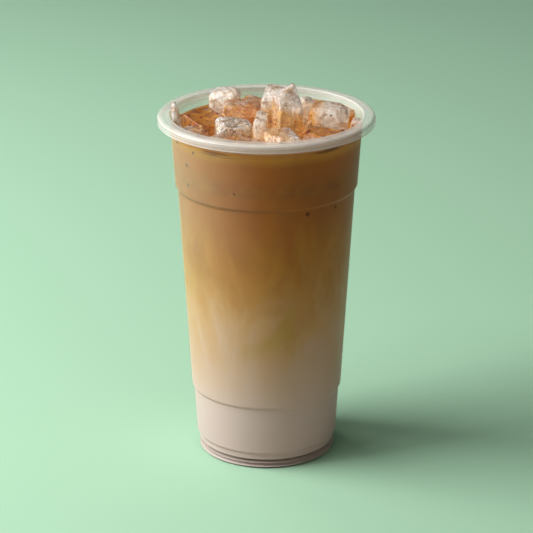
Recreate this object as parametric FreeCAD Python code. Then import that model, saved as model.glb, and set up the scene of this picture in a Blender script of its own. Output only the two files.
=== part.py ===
"""Iced latte in a tall clear polypropylene cup: the cup, its two layers of drink and the ice heaped on top.

Millimetres, +Z up. The origin is the centre of the cup's base, on the table, and -Y is the front.
The cup's wall is one thin section turned about Z. The drink fills the wall's inside up to a level and is
cut round each lump of ice. A lump is a moulded cube with rounded edges, tilted, and broken by flat fractures.
"""

import FreeCAD, Part
import itertools
import math
import os
from collections import namedtuple

# Cup, outside
CUP_HEIGHT = 155.6
LIP_RADIUS = 47.5
WALL = 0.6

# Lip: a flat flange that turns down into an open skirt
FLANGE_WIDTH = 5.1
LIP_WALL = 0.8
LIP_HEIGHT = 3.8
LIP_ROLL = 1.9              # radius over the outer edge
LIP_MOUTH = 0.7             # radius over the inner edge

# Bands of the wall from the lip down. taper is the radius lost per millimetre down the band, and step is the
# radius lost at the step below it.
COLLAR_HEIGHT = 31.5
COLLAR_TAPER = 0.068
COLLAR_STEP = 1.05
BODY_TAPER = 0.0588
BODY_STEP = 0.9
GRIP_HEIGHT = 21.0
GRIP_STEP = 1.1
FOOT_HEIGHT = 6.4
FOOT_TAPER = 0.01
STEP_RISE = 1.5
STEP_CREASE = 0.5           # radius in the hollow of a step
STEP_SHOULDER = 0.9         # radius on the shoulder of a step

# Underside: a standing ring round a lifted floor, with the moulding gate at its middle
RING_WIDTH = 3.0
RECESS_DEPTH = 2.4
RECESS_SLOPE = 1.4
GATE_RADIUS = 2.5
GATE_DEPTH = 0.5

# Drink
HEADSPACE = 6.4             # from the lip down to the drink
MILK_TOP = 45.0
ICE_GAP = 0.35              # between lumps, and between a lump and the wall

# Ice: the centre of the cube from the middle of the drink's surface, its size, its turn about Z and its
# tilts about X and Y in degrees, the radius of its moulded edges, and its fractures. A fracture is a flat
# face: the azimuth and elevation that it faces, and its distance from the centre of the cube.
HEAP_RADIUS = 41.3          # inside radius of a cup that takes the heap as it is listed
Ice = namedtuple("Ice", "name centre size turn edge fractures")
ICE = [
    Ice("ice_left_slab", (-38.3, -1.8, 1.6), (4.4, 13.0, 19.5), (3, 0, -15), 1.3,
        [(200, 62, 9.0), (80, 52, 9.0)]),
    Ice("ice_left_block", (-28.0, 4.8, -4.9), (18.5, 26.0, 16.0), (18, 4, 2), 2.2,
        [(150, 22, 11.2), (285, 30, 13.0)]),
    Ice("ice_frosted", (-18.0, 26.8, 0.3), (14.2, 13.0, 18.5), (-8, 4, -3), 4.4,
        [(170, 44, 9.4), (20, 48, 10.0)]),
    Ice("ice_amber", (-11.2, 13.6, -2.6), (16.5, 16.0, 18.0), (-4, 8, 3), 2.4,
        [(128, 14, 8.8), (262, 58, 9.3)]),
    Ice("ice_crackled", (-14.2, -14.2, -1.7), (15.4, 14.0, 17.5), (5, 2, 3), 1.5,
        [(66, 52, 10.2), (200, 58, 9.6)]),
    Ice("ice_splinter", (-3.0, -9.6, -0.6), (5.2, 12.0, 18.0), (-8, 10, 5), 1.1,
        [(190, 64, 8.6), (350, 60, 8.8)]),
    Ice("ice_shoulder", (4.0, 6.0, 4.1), (11.6, 11.0, 24.0), (-14, 3, 2), 1.5,
        [(186, 42, 10.0), (270, 48, 9.8), (40, 66, 12.0)]),
    Ice("ice_summit", (9.0, -4.5, 7.5), (11.0, 11.0, 27.0), (20, 4, 3), 0.8,
        [(185, 58, 9.2), (15, 12, 6.2), (290, 40, 6.4), (80, 52, 12.8)]),
    Ice("ice_front", (6.4, -23.8, -2.9), (17.0, 14.0, 16.5), (7, 5, 3), 2.4,
        [(238, 44, 9.0), (15, 46, 9.2)]),
    Ice("ice_behind", (16.4, 12.6, 0.4), (6.0, 8.0, 18.0), (14, -5, 7), 1.2,
        [(150, 50, 8.0), (350, 52, 7.6)]),
    Ice("ice_right_block", (26.6, 5.0, -0.7), (17.6, 16.0, 18.6), (-6, 4, 5), 4.2,
        [(312, 38, 10.4), (30, 44, 11.0)]),
    Ice("ice_front_right", (24.4, -17.0, -4.9), (18.4, 17.0, 16.0), (-8, 5, 4), 2.4,
        [(238, 50, 9.8), (70, 55, 9.8)]),
    Ice("ice_right_chip", (38.0, -3.4, -0.8), (5.0, 8.0, 11.5), (-8, 4, 12), 1.0,
        [(100, 48, 4.8)]),
    Ice("ice_notch", (16.6, -4.6, -2.0), (6.0, 8.0, 12.5), (-16, 6, -5), 1.0,
        [(300, 50, 6.2)]),
    Ice("ice_back", (3.6, 25.8, -3.8), (15.0, 13.5, 16.0), (14, 5, -7), 2.8,
        [(80, 45, 8.8), (250, 55, 8.6)]),
    Ice("ice_back_right", (21.6, 25.2, -3.6), (13.5, 12.0, 15.0), (-35, -6, 8), 2.4,
        [(20, 50, 8.2), (200, 48, 8.0)]),
    Ice("ice_back_edge", (-6.2, 35.0, -2.6), (9.0, 8.0, 11.5), (-24, 5, 4), 1.6,
        [(60, 48, 5.8)]),
    Ice("ice_left_front", (-31.6, -15.6, -2.8), (11.5, 13.0, 13.0), (-22, 6, -3), 2.0,
        [(40, 52, 7.8)]),
    Ice("ice_front_left", (-21.4, -28.8, -3.0), (13.0, 10.5, 13.0), (36, 8, -6), 1.8,
        [(200, 42, 7.4)]),
    Ice("ice_front_middle", (-6.4, -29.4, -4.0), (14.0, 12.0, 14.0), (-12, -5, 6), 2.2,
        [(60, 46, 8.2)]),
    Ice("ice_front_edge", (13.2, -35.2, -2.6), (10.0, 7.0, 11.5), (20, 6, -8), 1.4,
        [(150, 44, 5.8)]),
    Ice("ice_right_back", (34.6, 17.2, -2.6), (9.0, 12.0, 12.5), (28, -5, 6), 1.8,
        [(240, 46, 7.2)]),
]

UP = FreeCAD.Vector(0, 0, 1)
FULL_TURN = 360

# Outside heights and radii of the wall's bands, worked out from the lip down
FILL_LEVEL = CUP_HEIGHT - HEADSPACE
COLLAR_TOP_RADIUS = LIP_RADIUS - FLANGE_WIDTH
COLLAR_BOTTOM = CUP_HEIGHT - COLLAR_HEIGHT
COLLAR_RADIUS = COLLAR_TOP_RADIUS - COLLAR_TAPER * COLLAR_HEIGHT
BODY_TOP = COLLAR_BOTTOM - STEP_RISE
BODY_TOP_RADIUS = COLLAR_RADIUS - COLLAR_STEP
GRIP_BOTTOM = FOOT_HEIGHT + STEP_RISE
GRIP_TOP = GRIP_BOTTOM + GRIP_HEIGHT
BODY_BOTTOM = GRIP_TOP + STEP_RISE
BODY_RADIUS = BODY_TOP_RADIUS - BODY_TAPER * (BODY_TOP - BODY_BOTTOM)
GRIP_TOP_RADIUS = BODY_RADIUS - BODY_STEP
GRIP_RADIUS = GRIP_TOP_RADIUS - BODY_TAPER * GRIP_HEIGHT
FOOT_TOP_RADIUS = GRIP_RADIUS - GRIP_STEP
FOOT_RADIUS = FOOT_TOP_RADIUS - FOOT_TAPER * FOOT_HEIGHT
RING_RADIUS = FOOT_RADIUS - RING_WIDTH
MOUTH_RADIUS = COLLAR_TOP_RADIUS - WALL


def rounded_edges(corners):
    """Straight edges through (radius, height, rounding) corners in the XZ plane, with an arc at each rounding."""
    points = [FreeCAD.Vector(r, 0, z) for r, z, _ in corners]
    edges = []
    start = points[0]
    for before, corner, after, (_, _, rounding) in zip(points, points[1:], points[2:], corners[1:-1]):
        back = (before - corner).normalize()
        ahead = (after - corner).normalize()
        half = back.getAngle(ahead) / 2
        reach = rounding / math.tan(half)
        entry = corner + back * reach
        leave = corner + ahead * reach
        edges.append(Part.makeLine(start, entry))
        if rounding:
            middle = corner + (back + ahead).normalize() * (rounding / math.sin(half) - rounding)
            edges.append(Part.Arc(entry, middle, leave).toShape())
        start = leave
    edges.append(Part.makeLine(start, points[-1]))
    return edges


def turned(corners):
    """Solid of revolution of the closed section that the corners and the axis bound."""
    edges = rounded_edges(corners)
    first = edges[0].Vertexes[0].Point
    last = edges[-1].Vertexes[-1].Point
    edges.append(Part.makeLine(last, first))
    return Part.Face(Part.Wire(edges)).revolve(FreeCAD.Vector(), UP, FULL_TURN)


def skin():
    """Outside of the cup from the middle of its underside up to the lip, as (radius, height, rounding, bend).

    bend is 1 where the rounding is in a hollow, so that it is larger inside, and -1 where it is on a shoulder.
    """
    return [
        (0, RECESS_DEPTH, 0, 0),
        (RING_RADIUS - RECESS_SLOPE, RECESS_DEPTH, STEP_CREASE, 1),
        (RING_RADIUS, 0, STEP_SHOULDER, -1),
        (FOOT_RADIUS, 0, STEP_SHOULDER, -1),
        (FOOT_TOP_RADIUS, FOOT_HEIGHT, STEP_CREASE, 1),
        (GRIP_RADIUS, GRIP_BOTTOM, STEP_SHOULDER, -1),
        (GRIP_TOP_RADIUS, GRIP_TOP, STEP_CREASE, 1),
        (BODY_RADIUS, BODY_BOTTOM, STEP_SHOULDER, -1),
        (BODY_TOP_RADIUS, BODY_TOP, STEP_CREASE, 1),
        (COLLAR_RADIUS, COLLAR_BOTTOM, STEP_SHOULDER, -1),
        (COLLAR_TOP_RADIUS - COLLAR_TAPER * LIP_WALL, CUP_HEIGHT - LIP_WALL, LIP_WALL, 1),
    ]


def inside(depth):
    """The skin moved into the cup by a depth, from the middle of the floor up to the mouth."""
    outer = skin()[:-1] + [(COLLAR_TOP_RADIUS, CUP_HEIGHT, 0, 0)]
    corners = [(0, RECESS_DEPTH + depth, 0)]
    for before, here, after in zip(outer, outer[1:], outer[2:]):
        entering = math.atan2(here[1] - before[1], here[0] - before[0])
        leaving = math.atan2(after[1] - here[1], after[0] - here[0])
        bisector = (entering + leaving) / 2 + math.pi / 2
        reach = depth / math.cos((leaving - entering) / 2)
        corners.append((
            here[0] + reach * math.cos(bisector),
            here[1] + reach * math.sin(bisector),
            max(here[2] + here[3] * depth, 0),
        ))
    corners.append((COLLAR_TOP_RADIUS - depth * math.hypot(1, COLLAR_TAPER), CUP_HEIGHT, LIP_MOUTH))
    return corners


def make_cup():
    """Thin wall with three steps, a lifted floor, and the lip that turns down over its edge."""
    outer = [corner[:3] for corner in skin()]
    skirt_inner = LIP_RADIUS - LIP_WALL
    skirt_bottom = CUP_HEIGHT - LIP_HEIGHT
    tip = LIP_WALL * 0.45
    lip = [
        (skirt_inner, CUP_HEIGHT - LIP_WALL, LIP_ROLL - LIP_WALL),
        (skirt_inner, skirt_bottom, tip),
        (LIP_RADIUS, skirt_bottom, tip),
        (LIP_RADIUS, CUP_HEIGHT, LIP_ROLL),
    ]
    cup = turned(outer + lip + inside(WALL)[::-1])
    gate = Part.makeCylinder(GATE_RADIUS, GATE_DEPTH, FreeCAD.Vector(0, 0, RECESS_DEPTH - GATE_DEPTH))
    return cup.fuse(gate).removeSplitter()


def room(depth):
    """The space inside the cup, standing in from its skin by a depth, up to the height of the lip."""
    mouth = inside(depth)[:-1] + [(inside(depth)[-1][0], CUP_HEIGHT, 0)]
    return turned(mouth + [(0, CUP_HEIGHT, 0)])


def slab(bottom, top):
    """A block wider than the cup between two heights."""
    return Part.makeBox(2 * LIP_RADIUS, 2 * LIP_RADIUS, top - bottom,
                        FreeCAD.Vector(-LIP_RADIUS, -LIP_RADIUS, bottom))


def facing(azimuth, elevation):
    """Unit vector with that azimuth from +X and that elevation above the XY plane, in degrees."""
    a, e = math.radians(azimuth), math.radians(elevation)
    return FreeCAD.Vector(math.cos(a) * math.cos(e), math.sin(a) * math.cos(e), math.sin(e))


def cut_beyond(lump, point, normal):
    """The part of a lump that lies behind the plane through the point with that normal."""
    far = 2 * lump.BoundBox.DiagonalLength
    block = Part.makeBox(2 * far, 2 * far, far, FreeCAD.Vector(-far, -far, 0))
    block.Placement = FreeCAD.Placement(point, FreeCAD.Rotation(UP, normal))
    return lump.cut(block).Solids[0]


def place_ice(ice):
    """A moulded cube with rounded edges, in its place in the heap, with its fractures cut flat."""
    cube = Part.makeBox(*ice.size, FreeCAD.Vector(*ice.size) * -0.5)
    cube = cube.makeFillet(ice.edge, cube.Edges)
    for axis, angle in zip(((0, 0, 1), (1, 0, 0), (0, 1, 0)), ice.turn):
        cube.rotate(FreeCAD.Vector(), FreeCAD.Vector(*axis), angle)
    spread = MOUTH_RADIUS / HEAP_RADIUS
    x, y, z = ice.centre
    centre = FreeCAD.Vector(x * spread, y * spread, z + FILL_LEVEL)
    cube.translate(centre)
    for azimuth, elevation, distance in ice.fractures:
        normal = facing(azimuth, elevation)
        cube = cut_beyond(cube, centre + normal * distance, normal)
    return cube


def part_lumps(lumps):
    """Where two lumps meet, flatten both against the plane half way through the overlap."""
    for one, other in itertools.combinations(lumps, 2):
        if lumps[one].distToShape(lumps[other])[0] > ICE_GAP:
            continue
        here, there = lumps[one].CenterOfMass, lumps[other].CenterOfMass
        normal = (there - here).normalize()
        reach = max((v.Point - here).dot(normal) for v in lumps[one].Vertexes)
        start = min((v.Point - here).dot(normal) for v in lumps[other].Vertexes)
        middle = here + normal * ((reach + start) / 2)
        lumps[one] = cut_beyond(lumps[one], middle - normal * (ICE_GAP / 2), normal)
        lumps[other] = cut_beyond(lumps[other], middle + normal * (ICE_GAP / 2), normal * -1)
    return lumps


def make_ice():
    """Every lump by its name, clear of the others and of the wall."""
    lumps = part_lumps({ice.name: place_ice(ice) for ice in ICE})
    clear = room(WALL + ICE_GAP).fuse(
        Part.makeCylinder(inside(WALL + ICE_GAP)[-1][0], CUP_HEIGHT, FreeCAD.Vector(0, 0, CUP_HEIGHT)))
    return {name: lump.common(clear).Solids[0] for name, lump in lumps.items()}


def build():
    """Every piece by its node's name."""
    ice = make_ice()
    filled = room(WALL)
    coffee = filled.common(slab(MILK_TOP, FILL_LEVEL))
    for lump in ice.values():
        coffee = coffee.cut(lump)
    return {
        "cup": make_cup(),
        "milk": filled.common(slab(0, MILK_TOP)),
        "coffee": coffee,
        **ice,
    }


os.makedirs("parts", exist_ok=True)
for node, shape in build().items():
    shape.exportStep(f"parts/{node}.step")
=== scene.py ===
"""Dresses the packed iced latte: the blended drink, the wet ice, the translucent cup, and a soft studio."""

import math
import random
from collections import namedtuple

import bmesh
import bpy
import numpy as np
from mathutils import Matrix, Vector, noise
from mathutils.bvhtree import BVHTree


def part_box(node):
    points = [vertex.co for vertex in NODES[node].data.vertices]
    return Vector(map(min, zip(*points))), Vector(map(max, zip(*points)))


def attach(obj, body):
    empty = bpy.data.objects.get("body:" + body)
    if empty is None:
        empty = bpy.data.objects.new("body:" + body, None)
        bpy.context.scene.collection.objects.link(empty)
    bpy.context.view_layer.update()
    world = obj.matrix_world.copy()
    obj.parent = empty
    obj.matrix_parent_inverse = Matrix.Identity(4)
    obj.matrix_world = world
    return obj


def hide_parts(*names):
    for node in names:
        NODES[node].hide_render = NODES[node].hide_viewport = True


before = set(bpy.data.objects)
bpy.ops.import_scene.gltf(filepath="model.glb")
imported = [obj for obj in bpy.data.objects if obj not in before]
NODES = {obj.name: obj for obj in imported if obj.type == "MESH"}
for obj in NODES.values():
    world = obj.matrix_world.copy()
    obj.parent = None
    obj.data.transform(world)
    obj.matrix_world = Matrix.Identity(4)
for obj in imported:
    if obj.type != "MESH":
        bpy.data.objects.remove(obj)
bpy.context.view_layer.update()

MM = 0.001
ICE_NODES = sorted(name for name in NODES if name.startswith("ice_"))
CUP_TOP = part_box("cup")[1].z
LIP_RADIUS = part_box("cup")[1].x
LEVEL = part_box("coffee")[1].z
WALL_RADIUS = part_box("coffee")[1].x


# ---------------------------------------------------------------- colours and nodes

def srgb(red, green, blue):
    """A colour written as 0 to 255 values, as the linear values that shaders take."""
    def linear(value):
        share = value / 255
        return share / 12.92 if share <= 0.04045 else ((share + 0.055) / 1.055) ** 2.4
    return (linear(red), linear(green), linear(blue), 1.0)


class Shader:
    """The nodes of a material or of the world. Most methods add a node or two and return an output."""

    def __init__(self, owner):
        owner.use_nodes = True
        self.owner = owner
        self.tree = owner.node_tree
        self.tree.nodes.clear()
        self.place = self.add("ShaderNodeTexCoord").outputs["Object"]

    def add(self, kind, inputs=None, **settings):
        """A node with its settings, and its inputs set to values or linked to outputs."""
        node = self.tree.nodes.new(kind)
        for key, value in settings.items():
            setattr(node, key, value)
        for key, value in (inputs or {}).items():
            if isinstance(value, bpy.types.NodeSocket):
                self.tree.links.new(value, node.inputs[key])
            else:
                node.inputs[key].default_value = value
        return node

    def math(self, operation, a, b=0.0, clamp=False):
        return self.add("ShaderNodeMath", {0: a, 1: b}, operation=operation, use_clamp=clamp).outputs[0]

    def plus(self, a, b):
        return self.math("ADD", a, b)

    def times(self, a, b):
        return self.math("MULTIPLY", a, b)

    def most(self, a, b):
        return self.math("MAXIMUM", a, b)

    def swing(self, value):
        """How far a value that runs from 0 to 1 is above or below its middle."""
        return self.math("SUBTRACT", value, 0.5)

    def vector(self, operation, a, b=(0, 0, 0), c=(0, 0, 0)):
        """A node that works on vectors. The caller picks its output."""
        return self.add("ShaderNodeVectorMath", {0: a, 1: b, 2: c}, operation=operation)

    def axis(self, letter):
        """One coordinate of the shaded place."""
        return self.add("ShaderNodeSeparateXYZ", {"Vector": self.place}).outputs[letter]

    def from_axis(self):
        """The shaded place's distance from the cup's axis."""
        across = self.vector("MULTIPLY", self.place, (1, 1, 0)).outputs[0]
        return self.vector("LENGTH", across).outputs["Value"]

    def stretched(self, scale):
        """The shaded place, with each axis scaled by its own number."""
        return self.add("ShaderNodeMapping", {"Vector": self.place, "Scale": scale}).outputs[0]

    def noise(self, scale, detail=3.0, roughness=0.5, distortion=0.0, vector=None):
        inputs = {"Vector": vector or self.place, "Scale": scale, "Detail": detail,
                  "Roughness": roughness, "Distortion": distortion}
        return self.add("ShaderNodeTexNoise", inputs).outputs["Fac"]

    def cells(self, scale, vector, feature="F1"):
        """A node that splits space into cells. The caller picks its output."""
        return self.add("ShaderNodeTexVoronoi", {"Vector": vector, "Scale": scale}, feature=feature)

    def span(self, value, low, high, to_low=0.0, to_high=1.0):
        """The value carried from low..high to to_low..to_high, and held at their ends."""
        inputs = {"Value": value, "From Min": low, "From Max": high, "To Min": to_low, "To Max": to_high}
        return self.add("ShaderNodeMapRange", inputs).outputs[0]

    def ramp(self, value, stops):
        """A colour for each value, between stops of a position and a colour."""
        node = self.add("ShaderNodeValToRGB", {"Fac": value})
        elements = node.color_ramp.elements
        while len(elements) < len(stops):
            elements.new(0.5)
        for element, (position, colour) in zip(elements, stops):
            element.position = position
            element.color = colour
        return node.outputs["Color"]

    def blend(self, factor, a, b):
        """Colour a, turned to colour b by a factor from 0 to 1."""
        return self.add("ShaderNodeMix", {"Factor": factor, 6: a, 7: b}, data_type="RGBA").outputs[2]

    def bump(self, height, strength, distance):
        inputs = {"Height": height, "Strength": strength, "Distance": distance}
        return self.add("ShaderNodeBump", inputs).outputs[0]

    def ray(self, kind):
        """1 for rays of a kind, such as camera rays, and 0 for all others."""
        return self.add("ShaderNodeLightPath").outputs[f"Is {kind} Ray"]

    def diffuse(self, colour):
        return self.add("ShaderNodeBsdfDiffuse", {"Color": colour}).outputs[0]

    def transparent(self, colour):
        return self.add("ShaderNodeBsdfTransparent", {"Color": colour}).outputs[0]

    def sky(self, colour, strength):
        return self.add("ShaderNodeBackground", {"Color": colour, "Strength": strength}).outputs[0]

    def principled(self, inputs):
        return self.add("ShaderNodeBsdfPrincipled", inputs).outputs[0]

    def mix(self, factor, a, b):
        """Surface a, turned to surface b by a factor from 0 to 1."""
        return self.add("ShaderNodeMixShader", {0: factor, 1: a, 2: b}).outputs[0]

    def finish(self, surface):
        self.add("ShaderNodeOutputMaterial", {"Surface": surface})
        return self.owner


# ---------------------------------------------------------------- camera, light and floor

CAMERA_PLACE = (0.0, -1.035, 0.4662)
CAMERA_PITCH = math.radians(20.24)
CAMERA_LENS = 168.0         # millimetres

# Area lights: name, azimuth and elevation in degrees, distance and size in metres, watts, colour.
# Azimuth 0 is the camera's side and 90 is +X.
LIGHTS = [
    ("key", -86, 36, 1.20, 0.9, 22.5, (1.0, 0.97, 0.95)),
    ("fill", 34, 25, 1.6, 1.0, 1.5, (1.0, 0.86, 0.70)),
    ("top", -30, 72, 1.4, 0.6, 2.0, (1.0, 0.98, 0.96)),
    ("spark", -48, 50, 1.2, 0.12, 0.8, (1.0, 0.97, 0.94)),
    ("back", -140, 42, 1.3, 0.4, 1.8, (1.0, 0.98, 0.96)),
]

FLOOR_REACH = 6.0
FLOOR_SHOWN = srgb(172, 214, 185)
FLOOR_BOUNCE = srgb(176, 166, 154)

SURROUND = ((0.90, 1.0, 0.88, 1.0), 0.085)      # colour and strength of the light from all round
SKY_SHOWN = (srgb(176, 216, 188), 0.75)         # what the camera and the clear ice see past the floor
GLOSS_COLOUR = (1.0, 0.97, 0.94, 1.0)           # what gloss mirrors
GLOSS_RIGHT, GLOSS_LEFT = 0.04, 0.90            # and its strength on the right and far on the left


def make_camera():
    """The camera, square on to the front of the cup and looking down on it."""
    data = bpy.data.cameras.new("camera")
    data.lens = CAMERA_LENS
    camera = bpy.data.objects.new("camera", data)
    camera.location = CAMERA_PLACE
    camera.rotation_euler = (math.pi / 2 - CAMERA_PITCH, 0, 0)
    bpy.context.scene.collection.objects.link(camera)
    bpy.context.scene.camera = camera


def soft_light(name, azimuth, elevation, distance, size, watts, colour):
    """A square area light aimed at the middle of the cup."""
    data = bpy.data.lights.new(name, "AREA")
    data.size = size
    data.energy = watts
    data.color = colour
    light = bpy.data.objects.new(name, data)
    a, e = math.radians(azimuth), math.radians(elevation)
    away = Vector((math.sin(a) * math.cos(e), -math.cos(a) * math.cos(e), math.sin(e)))
    light.location = Vector((0, 0, CUP_TOP / 2)) + away * distance
    light.rotation_euler = away.to_track_quat("Z", "Y").to_euler()
    bpy.context.scene.collection.objects.link(light)


def make_floor():
    """A wide floor. The camera, reflections and clear ice show its green, and it bounces a paler light."""
    corners = [(-1, -1), (1, -1), (1, 1), (-1, 1)]
    mesh = bpy.data.meshes.new("floor")
    mesh.from_pydata([(x * FLOOR_REACH, y * FLOOR_REACH, 0) for x, y in corners], [], [(0, 1, 2, 3)])
    floor = bpy.data.objects.new("floor", mesh)
    bpy.context.scene.collection.objects.link(floor)
    s = Shader(bpy.data.materials.new("floor"))
    shown = s.most(s.most(s.ray("Camera"), s.ray("Glossy")), s.ray("Transmission"))
    mesh.materials.append(s.finish(s.mix(shown, s.diffuse(FLOOR_BOUNCE), s.diffuse(FLOOR_SHOWN))))


def make_world():
    """A dim surround. The camera and the clear ice see a green one, and gloss mirrors one that is
    brightest on the left."""
    world = bpy.data.worlds.new("studio")
    bpy.context.scene.world = world
    s = Shader(world)
    way = s.add("ShaderNodeTexCoord").outputs["Generated"]
    rightward = s.add("ShaderNodeSeparateXYZ", {"Vector": way}).outputs["X"]
    surface = s.sky(*SURROUND)
    mirrored = s.sky(GLOSS_COLOUR, s.span(rightward, -0.2, -1.0, GLOSS_RIGHT, GLOSS_LEFT))
    surface = s.mix(s.ray("Glossy"), surface, mirrored)
    shown = s.sky(*SKY_SHOWN)
    surface = s.mix(s.ray("Transmission"), surface, shown)
    surface = s.mix(s.ray("Camera"), surface, shown)
    s.add("ShaderNodeOutputWorld", {"Surface": surface})


# ---------------------------------------------------------------- shapes

SAME_HEIGHT = 0.002 * MM    # points of a solid that are this near in height are on one level
ON_OUTLINE = 0.02 * MM      # and this near the widest of them, on its outline
RING_POINTS = 24            # a level with no more points than this on its outline isn't a turned ring
NEAR = 0.15 * MM            # how close to a step in the wall the drink has one more ring


def coordinates(mesh):
    """A mesh's vertices as an array."""
    flat = np.empty(len(mesh.vertices) * 3)
    mesh.vertices.foreach_get("co", flat)
    return flat.reshape(-1, 3)


def put(name, vertices, faces, material, replaces=()):
    """A new piece on the cup's body."""
    mesh = bpy.data.meshes.new(name)
    mesh.from_pydata(vertices, [], faces)
    mesh.polygons.foreach_set("use_smooth", [True] * len(mesh.polygons))
    mesh.materials.append(material)
    piece = bpy.data.objects.new(name, mesh)
    bpy.context.scene.collection.objects.link(piece)
    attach(piece, "root")
    if replaces:
        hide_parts(*replaces)
    return piece


def append(vertices, faces, more, more_faces):
    """Adds one shape's vertices and faces to the lists of another."""
    faces += [[corner + len(vertices) for corner in face] for face in more_faces]
    vertices += [vertex.tolist() for vertex in more]


def wall_rings(node):
    """(radius, height) of each ring that turns the outside of a solid that fills the cup."""
    points = coordinates(NODES[node].data)
    radii = np.hypot(points[:, 0], points[:, 1])
    rings = []
    for height in np.unique(points[:, 2].round(6)):
        there = radii[abs(points[:, 2] - height) < SAME_HEIGHT]
        widest = there.max()
        if (there > widest - ON_OUTLINE).sum() > RING_POINTS:
            rings.append((float(widest), float(height)))
    return rings


def beside(rings):
    """The same rings with one more close to each end of every long band, which keeps its shading straight."""
    more = [rings[0]]
    for (radius, height), (after_radius, after) in zip(rings, rings[1:]):
        length = math.hypot(after_radius - radius, after - height)
        if length > 4 * NEAR:
            for share in (NEAR / length, 1 - NEAR / length):
                more.append((radius + share * (after_radius - radius), height + share * (after - height)))
        more.append((after_radius, after))
    return more


def tube_faces(rings, turns):
    """Faces of a closed tube of rings, whose bottom and top middles are the two vertices after them."""
    faces = []
    for start in range(0, (rings - 1) * turns, turns):
        for i in range(turns):
            j = (i + 1) % turns
            faces.append((start + i, start + j, start + turns + j, start + turns + i))
    bottom, top = rings * turns, rings * turns + 1
    last = bottom - turns
    for i in range(turns):
        j = (i + 1) % turns
        faces.append((bottom, j, i))
        faces.append((top, last + i, last + j))
    return faces


def footprint(node):
    """The outline of a lump at the drink's level, as a convex loop of points."""
    mesh = NODES[node].data
    points = coordinates(mesh)
    edges = np.array([edge.vertices[:] for edge in mesh.edges])
    a, b = points[edges[:, 0]], points[edges[:, 1]]
    crossing = (a[:, 2] - LEVEL) * (b[:, 2] - LEVEL) < 0
    a, b = a[crossing], b[crossing]
    share = ((LEVEL - a[:, 2]) / (b[:, 2] - a[:, 2]))[:, None]
    outline = (a + share * (b - a))[:, :2]
    centre = outline.mean(0)
    order = np.argsort(np.arctan2(*(outline - centre).T[::-1]))
    return outline[order]


def distance_inside(points, outline):
    """How far each point lies inside a convex outline, and below zero outside it."""
    along = np.roll(outline, -1, axis=0) - outline
    length = np.hypot(*along.T)
    keep = length > 1e-6
    start, along, length = outline[keep], along[keep], length[keep]
    inward = np.stack([-along[:, 1], along[:, 0]], 1) / length[:, None]
    return ((points[:, None, :] - start[None]) * inward[None]).sum(2).min(1)


def bead(place, normal, radius, flat):
    """Vertices and faces of a small round bead, flattened along a normal."""
    across = np.array(Vector(normal).orthogonal().normalized())
    along = np.cross(normal, across)
    sides, belts = 12, 6
    vertices = []
    for belt in range(1, belts):
        angle = math.pi * belt / belts
        for side in range(sides):
            turn = 2 * math.pi * side / sides
            ring = across * math.cos(turn) + along * math.sin(turn)
            vertices.append(place + radius * (math.sin(angle) * ring + flat * math.cos(angle) * normal))
    vertices += [place + radius * flat * normal, place - radius * flat * normal]
    top, bottom = len(vertices) - 2, len(vertices) - 1
    faces = []
    for belt in range(belts - 2):
        for side in range(sides):
            start, after = belt * sides + side, belt * sides + (side + 1) % sides
            faces.append([start, start + sides, after + sides, after])
    for side in range(sides):
        after = (side + 1) % sides
        faces.append([top, side, after])
        faces.append([bottom, (belts - 2) * sides + after, (belts - 2) * sides + side])
    return vertices, faces


def bead_material(name, colour, rough, coat=0.5):
    """A drop or bubble, with its colour a little uneven."""
    s = Shader(bpy.data.materials.new(name))
    darker = tuple(0.6 * part for part in colour[:3]) + (1,)
    return s.finish(s.principled({
        "Base Color": s.blend(s.noise(500, 2), colour, darker), "Roughness": rough, "IOR": 1.33,
        "Coat Weight": coat, "Coat Roughness": 0.05,
    }))


# ---------------------------------------------------------------- drink

DRINK_TURNS = 360
SURFACE_RINGS = 111
INTO_WALL = 0.15 * MM       # the drink reaches this far into the wall, so that no gap shows
MENISCUS = 0.5 * MM         # how far the drink climbs the wall all round
ICE_MENISCUS = 0.3 * MM     # and each lump
MENISCUS_REACH = 0.9 * MM
FILM = 2.4 * MM             # the drink wets the front of the wall this far above its level
ROLL = 0.25 * MM            # how much its surface rolls
DIP = 2.2 * MM              # it stands this far below its level between the lumps
DIP_START = 1.0 * MM        # from this far off the wall
DIP_SLOPE = 1.5 * MM
EDGE = 0.1 * MM             # how thin the drink's edge is at the wall
SOCKET_LIP = 0.9 * MM       # the drink wraps into each lump by this much
SOCKET_SLOPE = 2.2 * MM
SOCKET_DEPTH = 0.8          # as a share of what the lump has under the level


def press_socket(height, points, node):
    """Lets the surface climb a lump, and sinks it into a socket under the lump."""
    outline = footprint(node)
    centre = outline.mean(0)
    reach = np.hypot(*(outline - centre).T).max() + 4 * MENISCUS_REACH
    near = np.hypot(*(points - centre).T) < reach
    inside = distance_inside(points[near], outline)
    depth = SOCKET_DEPTH * (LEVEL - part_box(node)[0].z)
    deep = np.clip(inside - SOCKET_LIP, 0, None)
    height[near] += ICE_MENISCUS * np.exp(-abs(inside) / MENISCUS_REACH)
    height[near] -= depth * (1 - np.exp(-deep / SOCKET_SLOPE))


def surface_height(points, edge):
    """Height of the drink's surface: it climbs the wall, most at the front, and makes room for the ice."""
    from_wall = edge - np.hypot(points[:, 0], points[:, 1])
    front = np.clip(0.5 - 2.5 * points[:, 1] / edge, 0, 1)
    roll = np.array([noise.noise(Vector((x * 90, y * 90, 3.0))) for x, y in points])
    climb = MENISCUS + FILM * front * (1 + 0.3 * roll)
    height = LEVEL + climb * np.exp(-from_wall / MENISCUS_REACH) + ROLL * roll
    height -= DIP * (1 - np.exp(-np.clip(from_wall - DIP_START, 0, None) / DIP_SLOPE))
    for node in ICE_NODES:
        press_socket(height, points, node)
    return height


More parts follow.
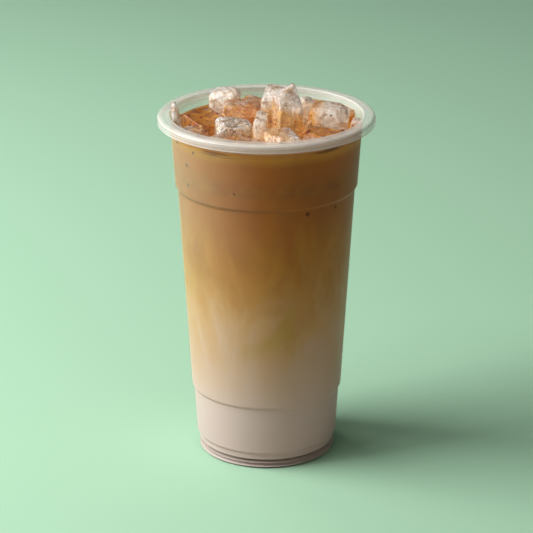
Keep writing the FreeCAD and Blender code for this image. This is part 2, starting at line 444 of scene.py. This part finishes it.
def make_drink(material):
    """Milk and coffee as one body of liquid that fills the cup and holds the ice."""
    side = beside(wall_rings("milk") + wall_rings("coffee")[1:])
    foot, low = side[0]
    edge = side[-1][0] + INTO_WALL
    turn = np.linspace(0, 2 * math.pi, DRINK_TURNS, endpoint=False)
    unit = np.stack([np.cos(turn), np.sin(turn)], 1)
    rings = [(0.25 * foot, low), (0.9 * foot, low)]
    rings += [(radius + INTO_WALL, height) for radius, height in side[:-1]]
    layers = [np.c_[unit * radius, np.full(DRINK_TURNS, height)] for radius, height in rings]
    flat = np.concatenate([unit * edge * share for share in np.linspace(1, 0, SURFACE_RINGS)[:-1]])
    surface = np.c_[flat, surface_height(flat, edge)]
    brink = surface[:DRINK_TURNS] - [0, 0, EDGE]
    middles = np.array([[0, 0, low], [0, 0, surface[-DRINK_TURNS:, 2].mean()]])
    vertices = np.concatenate(layers + [brink, surface, middles])
    faces = tube_faces(len(vertices) // DRINK_TURNS, DRINK_TURNS)
    return put("drink", vertices.tolist(), faces, material, ("milk", "coffee"))


# Colour of the drink up the side of the cup, by height in millimetres
LAYERS = [
    (0, (209, 197, 189)),
    (25, (213, 201, 191)),
    (37, (211, 192, 170)),
    (51, (207, 180, 144)),
    (67, (204, 168, 113)),
    (82, (194, 147, 72)),
    (100, (184, 127, 32)),
    (117, (171, 104, 8)),
    (134, (165, 96, 3)),
    (143.5, (176, 104, 4)),
    (147, (202, 146, 44)),
    (149.2, (196, 136, 52)),
]
SWIRL_SHIFT = 62 * MM       # how far the swirls carry a colour up or down
RIPPLE_SHIFT = 2 * MM
OLIVE = srgb(186, 156, 58)
MOTTLE = srgb(138, 78, 8)
BRINK_MARK = srgb(112, 58, 22)
OPEN_TOP = [(0.35, srgb(128, 76, 12)), (0.65, srgb(178, 122, 34))]


def layered_colour(s, height):
    """The colours of LAYERS, carried up and down by slow swirls where coffee and milk meet."""
    swirl = s.noise(1.0, 4, 0.55, 1.6, s.stretched((34, 34, 17)))
    meeting = s.times(s.span(height, 28 * MM, 60 * MM), s.span(height, 132 * MM, 105 * MM))
    shift = s.times(s.swing(swirl), s.times(meeting, SWIRL_SHIFT))
    ripple = s.swing(s.noise(1.0, 2, 0.5, 0.0, s.stretched((70, 70, 20))))
    carried = s.plus(s.plus(height, shift), s.times(ripple, RIPPLE_SHIFT))
    stops = [(stop * MM / LEVEL, srgb(*shade)) for stop, shade in LAYERS]
    return s.ramp(s.span(carried, 0.0, LEVEL), stops)


def patched_colour(s, height, colour):
    """The colour with olive patches half-way up, brown mottling from there, and dark marks at the brink."""
    olive = s.span(s.noise(1.0, 3, 0.5, 1.0, s.stretched((46, 46, 26))), 0.52, 0.64, 0.0, 0.55)
    half_way = s.times(s.span(height, 48 * MM, 66 * MM), s.span(height, 98 * MM, 82 * MM))
    colour = s.blend(s.times(olive, half_way), colour, OLIVE)
    mottle = s.span(s.noise(1.0, 4, 0.6, 0.8, s.stretched((80, 80, 40))), 0.45, 0.65, 0.0, 0.28)
    colour = s.blend(s.times(mottle, s.span(height, 60 * MM, 100 * MM)), colour, MOTTLE)
    marks = s.span(s.noise(1.0, 2, 0.5, 0.0, s.stretched((42, 42, 620))), 0.56, 0.64, 0.0, 0.75)
    return s.blend(s.times(s.span(height, 146.5 * MM, 147.5 * MM), marks), colour, BRINK_MARK)


def drink_material():
    """Coffee that pales through caramel and cream into milk, with slow swirls where they meet."""
    s = Shader(bpy.data.materials.new("drink"))
    height = s.axis("Z")
    colour = patched_colour(s, height, layered_colour(s, height))
    open_top = s.times(s.span(s.from_axis(), WALL_RADIUS - 0.6 * MM, WALL_RADIUS - 1.6 * MM),
                       s.span(height, LEVEL - 20 * MM, LEVEL - 19 * MM))
    return s.finish(s.principled({
        "Base Color": s.blend(open_top, colour, s.ramp(s.noise(120, 3, 0.6), OPEN_TOP)),
        "Roughness": 0.45, "IOR": 1.45, "Specular IOR Level": 0.25,
        "Coat Weight": 0.30, "Coat Roughness": 0.50,
        "Subsurface Weight": 0.20, "Subsurface Radius": (1.0, 0.70, 0.40), "Subsurface Scale": 3 * MM,
    }))


# Small bubbles against the wall: azimuth in degrees from the front, + to the right, and height in mm
WALL_BUBBLES = [(-49, 146), (-68, 147), (-57, 139), (-20, 131), (-57, 130), (27, 121), (50, 121),
                (110, 136), (150, 128), (200, 140), (240, 125)]


def make_wall_bubbles(material):
    """Small flat bubbles that the drink holds against the wall."""
    chance = random.Random("wall bubbles")
    rings = wall_rings("coffee")
    heights = [height for _, height in rings]
    radii = [radius for radius, _ in rings]
    vertices, faces = [], []
    for azimuth, height in WALL_BUBBLES:
        a = math.radians(azimuth)
        normal = np.array([math.sin(a), -math.cos(a), 0])
        radius = float(np.interp(height * MM, heights, radii)) + INTO_WALL
        place = normal * radius + np.array([0, 0, height * MM])
        append(vertices, faces, *bead(place, normal, chance.uniform(0.7, 1.1) * MM, 0.2))
    put("wall_bubbles", vertices, faces, material)


# ---------------------------------------------------------------- shapes of the ice

ICE_VOXEL = 0.42 * MM
SCOOPS = 9                              # in each lump
SCOOP_RADIUS = (8 * MM, 22 * MM)
SCOOP_DEPTH = (0.2 * MM, 0.8 * MM)
WAVE_HEIGHT = 0.10 * MM
RIDGE_HEIGHT = 0.10 * MM
PIT_DEPTH = 0.32 * MM

BEAD_RISE = 9 * MM                      # beads lie no higher than this over the drink
BEAD_BACK = 0.35                        # and not on faces that look further back than this

CHIPS = 46
CHIP_SIZE = (1.3 * MM, 3.2 * MM)
CHIP_FROM_WALL = 0.8 * MM
CHIP_CORNERS = 12
CHIP_BEVEL = 0.25 * MM

VEILS = 3                               # in each lump that has its own look
VEIL_STEP = 0.6 * MM
VEIL_DEPTH = 0.9 * MM                   # how deep a veil stays under the lump's skin
VEIL_OFFSET = 3 * MM                    # how far from the lump's middle it may pass
VEIL_CRUMPLE = 1.6 * MM


def voxel_copy(node):
    """A copy of a lump's solid as an even mesh, with its edges a little melted."""
    rough = bpy.data.objects.new("rough", NODES[node].data.copy())
    bpy.context.scene.collection.objects.link(rough)
    remesh = rough.modifiers.new("even", "REMESH")
    remesh.mode = "VOXEL"
    remesh.voxel_size = ICE_VOXEL
    melt = rough.modifiers.new("melt", "SMOOTH")
    melt.iterations = 1
    graph = bpy.context.evaluated_depsgraph_get()
    even = bpy.data.meshes.new_from_object(rough.evaluated_get(graph))
    vertices = coordinates(even)
    faces = [face.vertices[:] for face in even.polygons]
    normals = np.array([vertex.normal[:] for vertex in even.vertices])
    bpy.data.objects.remove(rough)
    bpy.data.meshes.remove(even)
    return vertices, faces, normals


def scoop(vertices, normals, chance):
    """Hollows a lump with shallow round scoops, as broken and melted ice has."""
    for _ in range(SCOOPS):
        pick = chance.randrange(len(vertices))
        size = chance.uniform(*SCOOP_RADIUS)
        centre = vertices[pick] + normals[pick] * (size - chance.uniform(*SCOOP_DEPTH))
        offset = vertices - centre
        distance = np.linalg.norm(offset, axis=1)
        inside = distance < size
        vertices[inside] = centre + offset[inside] / distance[inside][:, None] * size
    return vertices


def relief(vertices, normals, chance, look):
    """Fine waves over a lump's surface, contour ridges where it is streaked and pits where it is cracked."""
    shift = Vector((chance.uniform(0, 50), chance.uniform(0, 50), chance.uniform(0, 50)))
    wave = np.array([noise.fractal(Vector(v) * 230 + shift, 0.8, 2.0, 3) for v in vertices])
    slow = np.array([noise.noise(Vector(v) * 110 + shift) for v in vertices])
    pits = np.array([noise.noise(Vector(v) * 1100 + shift) for v in vertices])
    height = WAVE_HEIGHT * wave
    height += look.streaks * RIDGE_HEIGHT * np.sin(26 * slow)
    height -= look.cracks * PIT_DEPTH * np.clip(pits, 0, 1)
    return vertices + normals * height[:, None]


def make_lump(node, material, look):
    """One lump of melting ice in place of its solid."""
    chance = random.Random(node)
    vertices, faces, normals = voxel_copy(node)
    vertices = scoop(vertices, normals, chance)
    vertices = relief(vertices, normals, chance, look)
    return put(node.replace("ice", "lump"), vertices.tolist(), faces, material, (node,))


def make_beads(name, lumps, material, count, radius, flat, upward):
    """Beads on the lumps' skin above the drink, on faces that look up at least by a share."""
    chance = random.Random(name)
    vertices, faces = [], []
    for lump in lumps:
        points = coordinates(lump.data)
        normals = np.array([vertex.normal[:] for vertex in lump.data.vertices])
        able = np.flatnonzero((points[:, 2] > LEVEL) & (points[:, 2] < LEVEL + BEAD_RISE)
                              & (normals[:, 2] > upward) & (normals[:, 1] < BEAD_BACK))
        for _ in range(count if len(able) else 0):
            pick = able[chance.randrange(len(able))]
            append(vertices, faces, *bead(points[pick], normals[pick], chance.uniform(*radius), flat))
    put(name, vertices, faces, material)


def chip_place(chance, size, outlines):
    """A place on the drink for a chip of that size, or None where the place tried isn't free."""
    turn = chance.uniform(0, 2 * math.pi)
    reach = (WALL_RADIUS - size - CHIP_FROM_WALL) * math.sqrt(chance.random())
    x, y = reach * math.cos(turn), reach * math.sin(turn)
    if max(distance_inside(np.array([[x, y]]), outline)[0] for outline in outlines) > -0.25 * size:
        return None
    return Vector((x, y, LEVEL - DIP + 0.35 * size))


def add_chip(chips, chance, size, middle):
    """Adds one angular chip, the hull of a few scattered corners."""
    corners = []
    for _ in range(CHIP_CORNERS):
        way = Vector((chance.gauss(0, 1), chance.gauss(0, 1), chance.gauss(0, 0.8))).normalized()
        corners.append(chips.verts.new(middle + way * size * chance.uniform(0.8, 1.0)))
    hull = bmesh.ops.convex_hull(chips, input=corners)
    spare = {item for item in hull["geom_interior"] if isinstance(item, bmesh.types.BMVert)}
    bmesh.ops.delete(chips, geom=list(spare), context="VERTS")


def make_chips(material):
    """Small broken bits of ice afloat between the lumps."""
    chance = random.Random("chips")
    outlines = [footprint(node) for node in ICE_NODES]
    chips = bmesh.new()
    placed = 0
    while placed < CHIPS:
        size = chance.uniform(*CHIP_SIZE)
        middle = chip_place(chance, size, outlines)
        if middle is not None:
            add_chip(chips, chance, size, middle)
            placed += 1
    bmesh.ops.bevel(chips, geom=chips.edges[:], offset=CHIP_BEVEL, segments=2, affect="EDGES")
    mesh = bpy.data.meshes.new("made")
    chips.to_mesh(mesh)
    chips.free()
    vertices = coordinates(mesh).tolist()
    faces = [face.vertices[:] for face in mesh.polygons]
    bpy.data.meshes.remove(mesh)
    put("chips", vertices, faces, material)


def deep_in(skin, point):
    """Whether a point lies inside a lump's skin and clear of it."""
    nearest, normal, _, distance = skin.find_nearest(point)
    return distance > VEIL_DEPTH and (point - nearest).dot(normal) < 0


def veil(skin, middle, half, chance):
    """Vertices and faces of one crumpled plane near a lump's middle, cut off clear of its skin."""
    normal = Vector((chance.gauss(0, 1), chance.gauss(0, 1), chance.gauss(0, 0.35))).normalized()
    across = np.array(normal.orthogonal().normalized())
    normal = np.array(normal)
    along = np.cross(normal, across)
    offset = middle + normal * chance.uniform(-VEIL_OFFSET, VEIL_OFFSET)
    shift = Vector((chance.uniform(0, 50), 0, 0))
    index, vertices = {}, []
    for i in range(-half, half):
        for j in range(-half, half):
            point = offset + (across * i + along * j) * VEIL_STEP
            crumple = noise.fractal(Vector(point) * 160 + shift, 0.9, 2.0, 3)
            point = point + normal * crumple * VEIL_CRUMPLE
            if deep_in(skin, Vector(point)):
                index[i, j] = len(vertices)
                vertices.append(point)
    faces = []
    for i, j in index:
        corners = [(i, j), (i + 1, j), (i + 1, j + 1), (i, j + 1)]
        if all(corner in index for corner in corners):
            faces.append([index[corner] for corner in corners])
    return vertices, faces


def make_veils(node, lump, material):
    """Crumpled planes of fine cracks inside a lump."""
    chance = random.Random("veil " + node)
    mesh = lump.data
    skin = BVHTree.FromPolygons([v.co for v in mesh.vertices], [face.vertices for face in mesh.polygons])
    low, high = (np.array(corner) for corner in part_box(node))
    half = int(np.linalg.norm(high - low) / 2 / VEIL_STEP)
    vertices, faces = [], []
    for _ in range(VEILS):
        append(vertices, faces, *veil(skin, (low + high) / 2, half, chance))
    if faces:
        put(node.replace("ice", "veil"), vertices, faces, material)


# ---------------------------------------------------------------- looks of the ice

# How a lump looks. silver is the way in which it turns from amber, lit by the coffee, to silver, and start
# and end are where it does, in millimetres from its middle. The others run from 0 to 1: cracks and streaks
# in its skin, spots of coffee, and the share of it that is clear.
Look = namedtuple("Look", "silver start end cracks streaks spots clear")
PLAIN = Look((0, 0, 1), 6, 10, 0.5, 0.4, 0.3, 0.42)
LOOKS = {
    "ice_left_slab": Look((0.7, 0, 0.3), -2, 1, 0.4, 0.8, 0.2, 0.45),
    "ice_left_block": Look((0, 0, 1), 9, 13, 0.15, 0.2, 1.0, 0.45),
    "ice_frosted": Look((-0.2, 0, 1), -4, 1, 0.3, 1.0, 0.0, 0.50),
    "ice_amber": Look((0, 0, 1), 8, 13, 0.45, 0.3, 0.2, 0.55),
    "ice_crackled": Look((0, 0, 1), 5, 8, 1.0, 0.4, 0.5, 0.45),
    "ice_splinter": Look((-0.4, -0.2, 0.8), -5, 1, 0.6, 1.0, 0.3, 0.62),
    "ice_shoulder": Look((-0.5, 0.2, 1), 3, 6, 0.5, 0.8, 0.2, 0.66),
    "ice_summit": Look((0.5, 0, 1), 1, 5, 0.7, 1.0, 0.7, 0.66),
    "ice_front": Look((1, 0, 0.3), 2, 7, 0.7, 0.7, 0.1, 0.62),
    "ice_behind": Look((0, 0, 1), -5, -1, 0.5, 0.9, 0.1, 0.60),
    "ice_right_block": Look((0.9, -0.2, 0.1), -4, 0, 0.4, 0.4, 0.0, 0.50),
    "ice_front_right": Look((0, 0, 1), 9, 13, 0.25, 0.3, 1.0, 0.50),
    "ice_right_chip": Look((0, 0, 1), 1, 6, 0.5, 0.4, 0.3, 0.55),
}
AMBER_START = 6             # a lump that turns silver above this has amber veils

# What breaks up a lump's skin: streaks, a value for each of its shards, the dark seams between those, how
# far a place is from a winding crack, the pale crack lines that are partly painted glints, and its fine
# relief
Grain = namedtuple("Grain", "streaks shard seams winding lines bump")
SHARD_SCALE = 330.0
SHARD_WARP = (0.007, 0.007, 0.011)
ALONG_LUMP = (620, 620, 230)            # winding cracks run up and down on streaked lumps
ALL_WAYS = (760, 760, 760)

GLASS_AMBER = (0.95, 0.64, 0.18, 1)
GLASS_SILVER = (1.0, 0.96, 0.93, 1)
AMBER_SHADES = [
    (0.34, srgb(112, 54, 2)),
    (0.46, srgb(172, 98, 4)),
    (0.57, srgb(202, 136, 14)),
    (0.70, srgb(244, 196, 76)),
]
AMBER_SHARD = srgb(130, 64, 2)
# Pale crack lines on amber ice, partly painted glints.
AMBER_LINE_AND_GLINT = srgb(255, 240, 212)
COFFEE_SPOT = srgb(152, 42, 6)
SNOW_SHADES = [
    (0.40, srgb(182, 154, 126)),
    (0.47, srgb(240, 226, 210)),
    (0.53, srgb(255, 252, 248)),
]
SNOW_FAR = srgb(132, 108, 84)
SNOW_SEAM = srgb(72, 50, 36)


def ice_shards(s):
    """A value for each shard that the ice is broken into, and each place's distance from their seams."""
    wander = s.add("ShaderNodeTexNoise", {"Vector": s.place, "Scale": 170.0, "Detail": 2.0}).outputs["Color"]
    warped = s.vector("MULTIPLY_ADD", wander, SHARD_WARP, s.place).outputs[0]
    colour = s.cells(SHARD_SCALE, warped).outputs["Color"]
    shard = s.add("ShaderNodeSeparateColor", {"Color": colour}).outputs[0]
    return shard, s.cells(SHARD_SCALE, warped, "DISTANCE_TO_EDGE").outputs["Distance"]


def ice_grain(s, look):
    """The grain of a lump's skin."""
    streaks = s.noise(1.0, 4, 0.65, 0.8, s.stretched((520, 520, 150)))
    shard, from_seam = ice_shards(s)
    seams = s.times(s.span(from_seam, 0.014, 0.05, 0.25 + 0.65 * look.cracks, 0.0),
                    s.span(s.noise(260, 2), 0.46, 0.54))
    thread = s.math("ABSOLUTE", s.swing(s.noise(300, 3, 0.6, 1.5)))
    # White specks in cracked ice, partly painted glints.
    specks_and_painted_glints = s.span(s.noise(1300, 2, 0.6), 0.51, 0.56)
    lines = s.most(s.span(thread, 0.010, 0.036, 1.0, 0.0), s.times(specks_and_painted_glints, look.cracks))
    way = s.stretched(ALONG_LUMP if look.streaks > 0.6 else ALL_WAYS)
    winding = s.math("ABSOLUTE", s.swing(s.noise(1.0, 2, 0.5, 0.7, way)))
    lines = s.most(s.times(lines, look.cracks), s.span(winding, 0.012, 0.05, 0.9 * look.cracks, 0.0))
    height = s.plus(s.plus(streaks, s.times(s.noise(1000, 3, 0.6), 0.4)), s.times(shard, 0.4))
    return Grain(streaks, shard, seams, winding, lines, s.bump(height, 0.8, 0.8 * MM))


def ice_silver(s, node, look):
    """How far each place of a lump has turned from amber, at 0, to silver, at 1."""
    low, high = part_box(node)
    from_middle = s.vector("SUBTRACT", s.place, (low + high) / 2).outputs[0]
    along = s.vector("DOT_PRODUCT", from_middle, Vector(look.silver).normalized()).outputs["Value"]
    uneven = s.times(s.swing(s.noise(150, 3, 0.6, 1.0)), 11 * MM)
    return s.span(s.plus(along, uneven), look.start * MM, look.end * MM)


def amber_skin(s, look, grain):
    """Ice that the coffee lights, with dark shards, coffee spots, and pale crack lines that are partly
    painted glints.
    """
    colour = s.ramp(s.noise(230, 4, 0.62, 0.6), AMBER_SHADES)
    colour = s.blend(s.span(grain.shard, 0.15, 0.45, 0.3, 0.0), colour, AMBER_SHARD)
    spots = s.times(s.span(s.noise(210, 3, 0.6, 1.0), 0.57, 0.62), look.spots)
    colour = s.blend(spots, colour, COFFEE_SPOT)
    # Pale crack lines, partly painted glints.
    colour = s.blend(s.times(grain.lines, 0.8), colour, AMBER_LINE_AND_GLINT)
    return s.principled({
        "Base Color": colour, "Roughness": 0.14, "Coat Weight": 1.0, "Coat Roughness": 0.04,
        "Subsurface Weight": 0.5, "Subsurface Radius": (1.0, 0.72, 0.30), "Subsurface Scale": 3 * MM,
        "Normal": grain.bump,
    })


def snowy_skin(s, look, grain):
    """White ice with soft clouds, browner away from the winding cracks, and with dark seams."""
    cloud = s.times(s.noise(190, 2, 0.5, 1.2), 0.6)
    tone = s.plus(cloud, s.times(grain.streaks, 0.4))
    tone = s.plus(tone, s.times(s.swing(grain.shard), 0.12 * look.cracks))
    colour = s.ramp(tone, SNOW_SHADES)
    far = s.span(grain.winding, 0.03, 0.09, 0.0, 0.75 * look.cracks ** 2)
    colour = s.blend(far, colour, SNOW_FAR)
    colour = s.blend(grain.seams, colour, SNOW_SEAM)
    return s.principled({
        "Base Color": colour, "Roughness": 0.12, "Coat Weight": 1.0, "Coat Roughness": 0.04,
        "Subsurface Weight": 0.9, "Subsurface Radius": (1.0, 1.0, 1.0), "Subsurface Scale": 6 * MM,
        "Normal": grain.bump,
    })


def ice_material(name, node, look):
    """Wet ice: amber where the coffee lights it, silver where it stands clear, and partly clear."""
    s = Shader(bpy.data.materials.new(name))
    silver = ice_silver(s, node, look)
    grain = ice_grain(s, look)
    glass = s.principled({
        "Base Color": s.blend(silver, GLASS_AMBER, GLASS_SILVER), "Roughness": 0.02, "IOR": 1.31,
        "Transmission Weight": 1.0, "Normal": grain.bump,
    })
    skin = s.mix(silver, amber_skin(s, look, grain), snowy_skin(s, look, grain))
    unmarked = s.math("SUBTRACT", 1.0, s.most(grain.seams, grain.lines))
    clear = s.times(s.span(silver, 0, 1, look.clear, 0.75 * look.clear), unmarked)
    lets_light_by = s.times(s.ray("Shadow"), 0.95)
    return s.finish(s.mix(lets_light_by, s.mix(clear, skin, glass), s.transparent((0.96, 0.93, 0.88, 1.0))))


def veil_material(name, colour):
    """Sheets of cracks, thin and torn, that cast no shadow."""
    s = Shader(bpy.data.materials.new(name))
    torn = s.span(s.noise(420, 4, 0.7, 1.0), 0.46, 0.56, 0.0, 0.85)
    sheet = s.principled({"Base Color": colour, "Roughness": 0.22, "Alpha": torn})
    return s.finish(s.mix(s.ray("Shadow"), sheet, s.transparent((1.0, 1.0, 1.0, 1.0))))


def make_ice():
    """Every lump by its node's name, with veils where it has its own look, and the chips between them."""
    silver_veil = veil_material("silver_veil", srgb(240, 228, 216))
    amber_veil = veil_material("amber_veil", srgb(226, 160, 62))
    plain = ice_material("ice_plain", "ice_back", PLAIN)
    lumps = {}
    for node in ICE_NODES:
        if node in LOOKS:
            look = LOOKS[node]
            lumps[node] = make_lump(node, ice_material(node, node, look), look)
            make_veils(node, lumps[node], amber_veil if look.start > AMBER_START else silver_veil)
        else:
            lumps[node] = make_lump(node, plain, PLAIN)
    make_chips(plain)
    return lumps


# ---------------------------------------------------------------- cup

CUP_WHITE = srgb(238, 236, 230)
# A greenish white for the painted sheen on the lit left side of the wall.
CUP_PAINTED_SHEEN = srgb(220, 240, 210)


def fine_grooves(s, radius, height):
    """Noise over the cup's profile that hardly changes around it, as fine turned grooves."""
    turn = s.times(s.math("ARCTAN2", s.axis("Y"), s.axis("X")), 0.8 * MM)
    profile = s.add("ShaderNodeCombineXYZ", {"X": radius, "Y": height, "Z": turn}).outputs[0]
    return s.noise(1500, 3, 0.6, 0.0, profile)


def lip_painted_highlights(s, radius, height):
    """The lip's outer corners and its inner edge, made more opaque and whiter: partly the thicker plastic
    there, partly painted highlight lines.
    """
    corners = s.most(s.span(height, CUP_TOP - 1.3 * MM, CUP_TOP - 0.6 * MM),
                     s.span(height, CUP_TOP - 3.2 * MM, CUP_TOP - 3.6 * MM))
    outer = s.times(s.span(radius, LIP_RADIUS - 1.0 * MM, LIP_RADIUS - 0.4 * MM), corners)
    inner = s.times(s.span(radius, WALL_RADIUS + 1.6 * MM, WALL_RADIUS + 1.2 * MM),
                    s.span(height, CUP_TOP - 0.7 * MM, CUP_TOP - 0.3 * MM, 0.0, 0.6))
    return s.most(outer, inner)


def painted_left_sheen(s, height):
    """Painted sheen: the left of the wall, where the key light falls, made whiter and more opaque. It is
    stronger further up and only where the drink stands behind it.
    """
    left_sheen = s.times(s.span(s.axis("X"), 0.0, -38 * MM, 0.0, 0.20),
                   s.span(height, 40 * MM, 110 * MM, 0.15, 1.0))
    return s.times(left_sheen, s.span(height, LEVEL, LEVEL - 2 * MM))


def cup_material():
    """Thin translucent polypropylene, denser and whiter where the lip is thick, with painted highlight lines
    on the lip's edges and a painted sheen of light on the left of the wall.
    """
    s = Shader(bpy.data.materials.new("cup"))
    height = s.axis("Z")
    radius = s.from_axis()
    streak = s.noise(1.0, 3, 0.5, 0.0, s.stretched((60, 60, 12)))
    grooves = fine_grooves(s, radius, height)
    # Painted sheen of the key light on the left of the wall.
    painted_sheen = painted_left_sheen(s, height)
    over_drink = s.span(height, LEVEL, LEVEL + 0.4 * MM)
    # Haze of the plastic, with the painted sheen on the left added in.
    haze_and_painted_sheen = s.plus(s.plus(painted_sheen, s.times(streak, 0.03)), s.times(over_drink, 0.16))
    lip = s.span(height, CUP_TOP - 4.6 * MM, CUP_TOP - 3.4 * MM)
    ring = s.times(lip, s.span(grooves, 0.36, 0.64, 0.05, 0.28))
    # Painted highlight lines along the lip's edges.
    edges = s.times(lip_painted_highlights(s, radius, height), 0.30)
    return s.finish(s.principled({
        "Base Color": s.blend(s.span(painted_sheen, 0.02, 0.12), CUP_WHITE, CUP_PAINTED_SHEEN),
        "Roughness": s.span(over_drink, 0, 1, 0.30, 0.16), "IOR": 1.49,
        "Alpha": s.math("ADD", s.plus(haze_and_painted_sheen, ring), edges, clamp=True),
        "Normal": s.bump(s.plus(streak, s.times(grooves, 0.4)), 0.15, 0.3 * MM),
    }))


# ---------------------------------------------------------------- assembly

SPOTTED = ("ice_left_block", "ice_front_right", "ice_summit", "ice_left_front")
RIMMED = ("ice_crackled", "ice_shoulder", "ice_behind", "ice_right_block")

make_camera()
for light in LIGHTS:
    soft_light(*light)
make_world()
make_floor()

make_drink(drink_material())
LUMPS = make_ice()

make_beads("coffee_drops", [LUMPS[name] for name in SPOTTED],
           bead_material("coffee_drop", srgb(120, 24, 6), 0.1), 9, (0.35 * MM, 1.0 * MM), 0.3, 0.1)
make_wall_bubbles(bead_material("wall_bubble", srgb(128, 76, 30), 0.7, 0.0))
make_beads("dark_bubbles", [LUMPS[name] for name in RIMMED],
           bead_material("bubble", srgb(30, 14, 8), 0.05), 3, (0.25 * MM, 0.5 * MM), 0.5, 0.3)

NODES["cup"].data.materials.clear()
NODES["cup"].data.materials.append(cup_material())

bpy.context.scene.view_settings.view_transform = "Standard"
